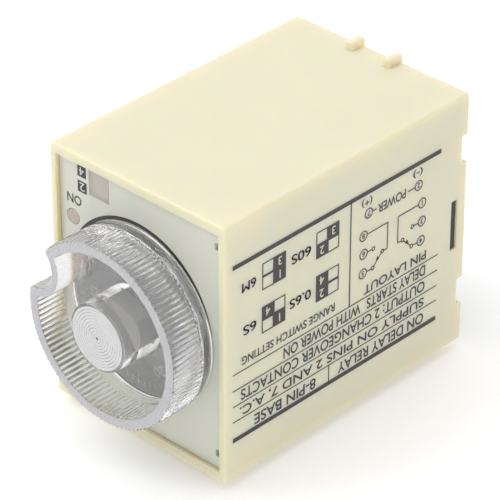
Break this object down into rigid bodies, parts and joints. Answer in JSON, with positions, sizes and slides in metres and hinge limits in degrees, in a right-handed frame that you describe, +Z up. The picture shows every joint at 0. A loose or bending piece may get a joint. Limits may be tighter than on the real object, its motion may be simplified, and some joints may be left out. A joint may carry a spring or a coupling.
{
  "type": "timer relay",
  "caption": "Plug-in analogue timer relay: cream case with a clear ribbed dial knob on the front and a keyed round plug of pins at the back; it switches its contacts after the set delay.",
  "frame": {"origin": "on the plug's axis, in the plane of the housing's rear rim", "axes": "+Y out along the plug pins, the dial faces -Y, +Z up as the object stands in the picture"},
  "size_m": [0.04, 0.0805, 0.053],
  "materials": {
    "cream_plastic": "moulded cream plastic, fine satin grain",
    "panel_print": "grey-green printed film",
    "smoky_window": "smoky see-through film",
    "lamp_lens": "milky pink lens",
    "scale_grey": "grey printed plate",
    "clear_plastic": "clear polished moulding with a frosted rim",
    "zinc": "zinc plate",
    "brown_phenolic": "brown phenolic sheet",
    "spring_bronze": "rolled bronze strip",
    "green_board": "green solder mask",
    "bright_steel": "plated steel",
    "grey_plastic": "moulded grey plastic",
    "white_plastic": "moulded white plastic",
    "red_lamp": "red tinted epoxy",
    "black_plastic": "moulded black plastic",
    "film_yellow": "dipped film capacitor",
    "dark_sleeve": "shrunk sleeve",
    "resistor_tan": "lacquered resistor body",
    "natural_nylon": "natural moulded nylon",
    "copper_wire": "enamelled copper winding",
    "silver": "silver contact",
    "nickel": "nickel-plated brass",
    "tinned_wire": "tinned copper wire"
  },
  "bodies": {
    "case": {"housing": "cream_plastic", "front_panel": "panel_print", "range_window": "smoky_window", "on_lens": "lamp_lens", "scale_plate": "scale_grey", "pot_bush": "zinc", "pot_can": "zinc", "pot_track": "brown_phenolic", "dial_board": "green_board", "board_screws": "bright_steel", "range_switch_body": "grey_plastic", "on_led": "red_lamp", "main_board": "green_board", "board_header": "black_plastic", "timer_ic": "black_plastic", "film_capacitor": "film_yellow", "timing_capacitor": "film_yellow", "smoothing_capacitor": "dark_sleeve", "rectifier_diodes": "black_plastic", "resistors": "resistor_tan", "driver_transistor": "black_plastic", "relay_yoke": "bright_steel", "relay_core": "bright_steel", "coil_bobbin": "natural_nylon", "coil_winding": "copper_wire", "return_spring": "spring_bronze", "no_contacts": "spring_bronze", "nc_contacts": "spring_bronze", "contact_block": "natural_nylon", "plug_base": "black_plastic", "pin_leads": "tinned_wire", "pin_1": "nickel", "pin_2": "nickel", "pin_3": "nickel", "pin_4": "nickel", "pin_5": "nickel", "pin_6": "nickel", "pin_7": "nickel", "pin_8": "nickel"},
    "dial": {"dial_knob": "clear_plastic", "pot_shaft": "grey_plastic", "pot_rotor": "brown_phenolic", "pot_wiper": "spring_bronze"},
    "upper_lever": {"range_lever_upper": "white_plastic"},
    "lower_lever": {"range_lever_lower": "white_plastic"},
    "armature": {"armature": "bright_steel", "contact_carrier": "natural_nylon", "moving_springs": "spring_bronze", "moving_contacts": "silver"}
  },
  "joints": [
    {"name": "dial_turn", "type": "hinge", "parent": "case", "child": "dial", "pos_m": [0, -0.06, -0.0005], "axis": [0, 1, 0], "range_deg": [-264.5, 35.5]},
    {"name": "range_slide_upper", "type": "slide", "parent": "case", "child": "upper_lever", "axis": [1, 0, 0], "range_m": [-0.002, 0]},
    {"name": "range_slide_lower", "type": "slide", "parent": "case", "child": "lower_lever", "axis": [1, 0, 0], "range_m": [-0.002, 0]},
    {"name": "armature_swing", "type": "hinge", "parent": "case", "child": "armature", "pos_m": [0.01525, -0.0391, 0], "axis": [0, 0, -1], "range_deg": [0, 3.2], "stiffness_Nm_per_rad": 0.05, "springref_deg": -2.86, "deforming": ["return_spring"]}
  ]
}
